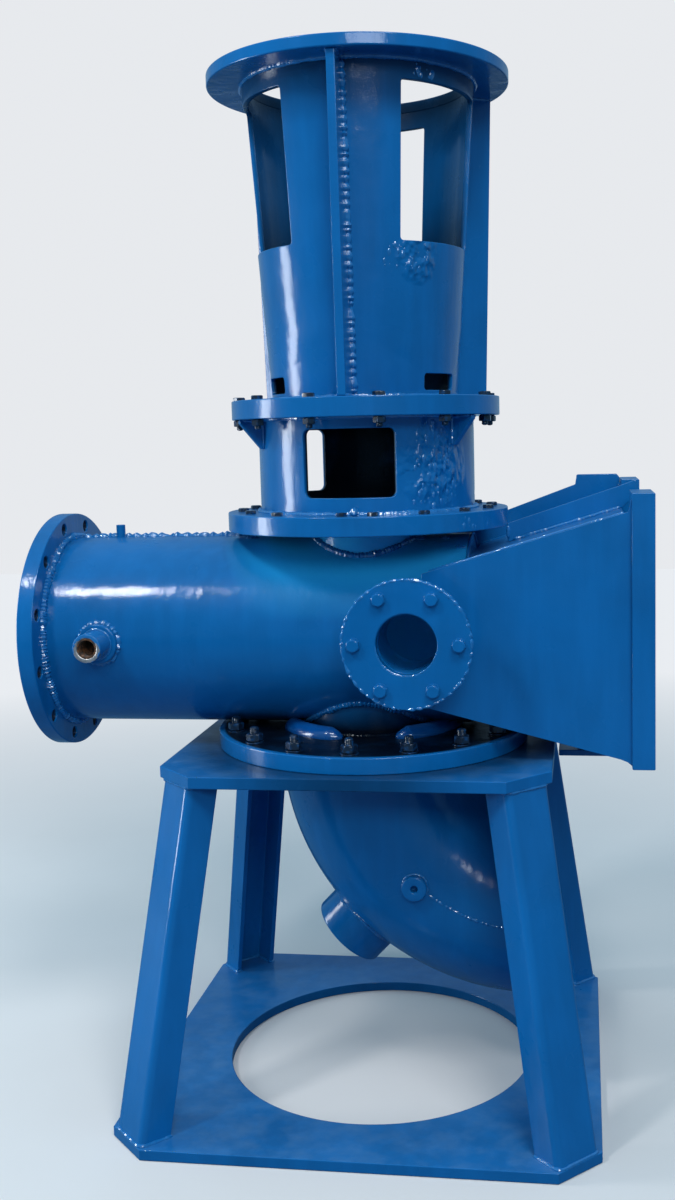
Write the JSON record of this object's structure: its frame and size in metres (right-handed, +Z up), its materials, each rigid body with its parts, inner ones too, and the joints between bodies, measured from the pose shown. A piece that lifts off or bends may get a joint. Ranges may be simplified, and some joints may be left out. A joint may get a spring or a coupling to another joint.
{
  "type": "vertical dry-pit sewage pump",
  "caption": "Vertical sewage pump on a splayed stand, with a side discharge pipe, a suction elbow below and a windowed motor stool on top.",
  "frame": {"origin": "centre of the overall outline at floor level, on the underside of the base plate", "axes": "+Z up along the pump axis, -X towards the discharge flange, -Y towards the inspection flange"},
  "size_m": [1.1312, 0.842, 1.862],
  "materials": {
    "pump_paint": "gloss",
    "stand_paint": "gloss",
    "stool_paint": "gloss",
    "bare_thread": "machined"
  },
  "bodies": {
    "root": {"base_plate": "stand_paint", "frame_top_plate": "stand_paint", "leg_front_left": "stand_paint", "leg_front_right": "stand_paint", "leg_back_left": "stand_paint", "leg_back_right": "stand_paint", "bracket_front_plate": "stand_paint", "bracket_back_plate": "stand_paint", "bracket_top_plate": "stand_paint", "bracket_bottom_plate": "stand_paint", "bracket_middle_rib": "stand_paint", "bracket_front_foot": "stand_paint", "bracket_back_foot": "stand_paint", "bracket_lower_bar": "stand_paint", "elbow_top_flange": "pump_paint", "casing_suction_flange": "pump_paint", "suction_elbow_upper": "pump_paint", "suction_elbow_lower": "pump_paint", "elbow_inlet_flange": "pump_paint", "elbow_clean_out_stub": "pump_paint", "elbow_gauge_boss": "pump_paint", "pump_casing_upper": "pump_paint", "pump_casing_lower": "pump_paint", "casing_end_plate": "pump_paint", "casing_neck": "pump_paint", "casing_collar": "pump_paint", "inspection_nozzle": "pump_paint", "inspection_flange": "pump_paint", "discharge_pipe": "pump_paint", "discharge_flange": "pump_paint", "discharge_vent_stub": "pump_paint", "discharge_gauge_boss": "bare_thread", "casing_cover": "stool_paint", "pedestal_lower_flange": "stool_paint", "pedestal_tube": "stool_paint", "pedestal_upper_flange": "stool_paint", "pedestal_gusset_1": "stool_paint", "pedestal_gusset_2": "stool_paint", "pedestal_gusset_3": "stool_paint", "stool_lower_flange": "stool_paint", "stool_tube": "stool_paint", "stool_rib_1": "stool_paint", "stool_rib_2": "stool_paint", "stool_rib_3": "stool_paint", "motor_flange": "stool_paint"}
  },
  "joints": []
}
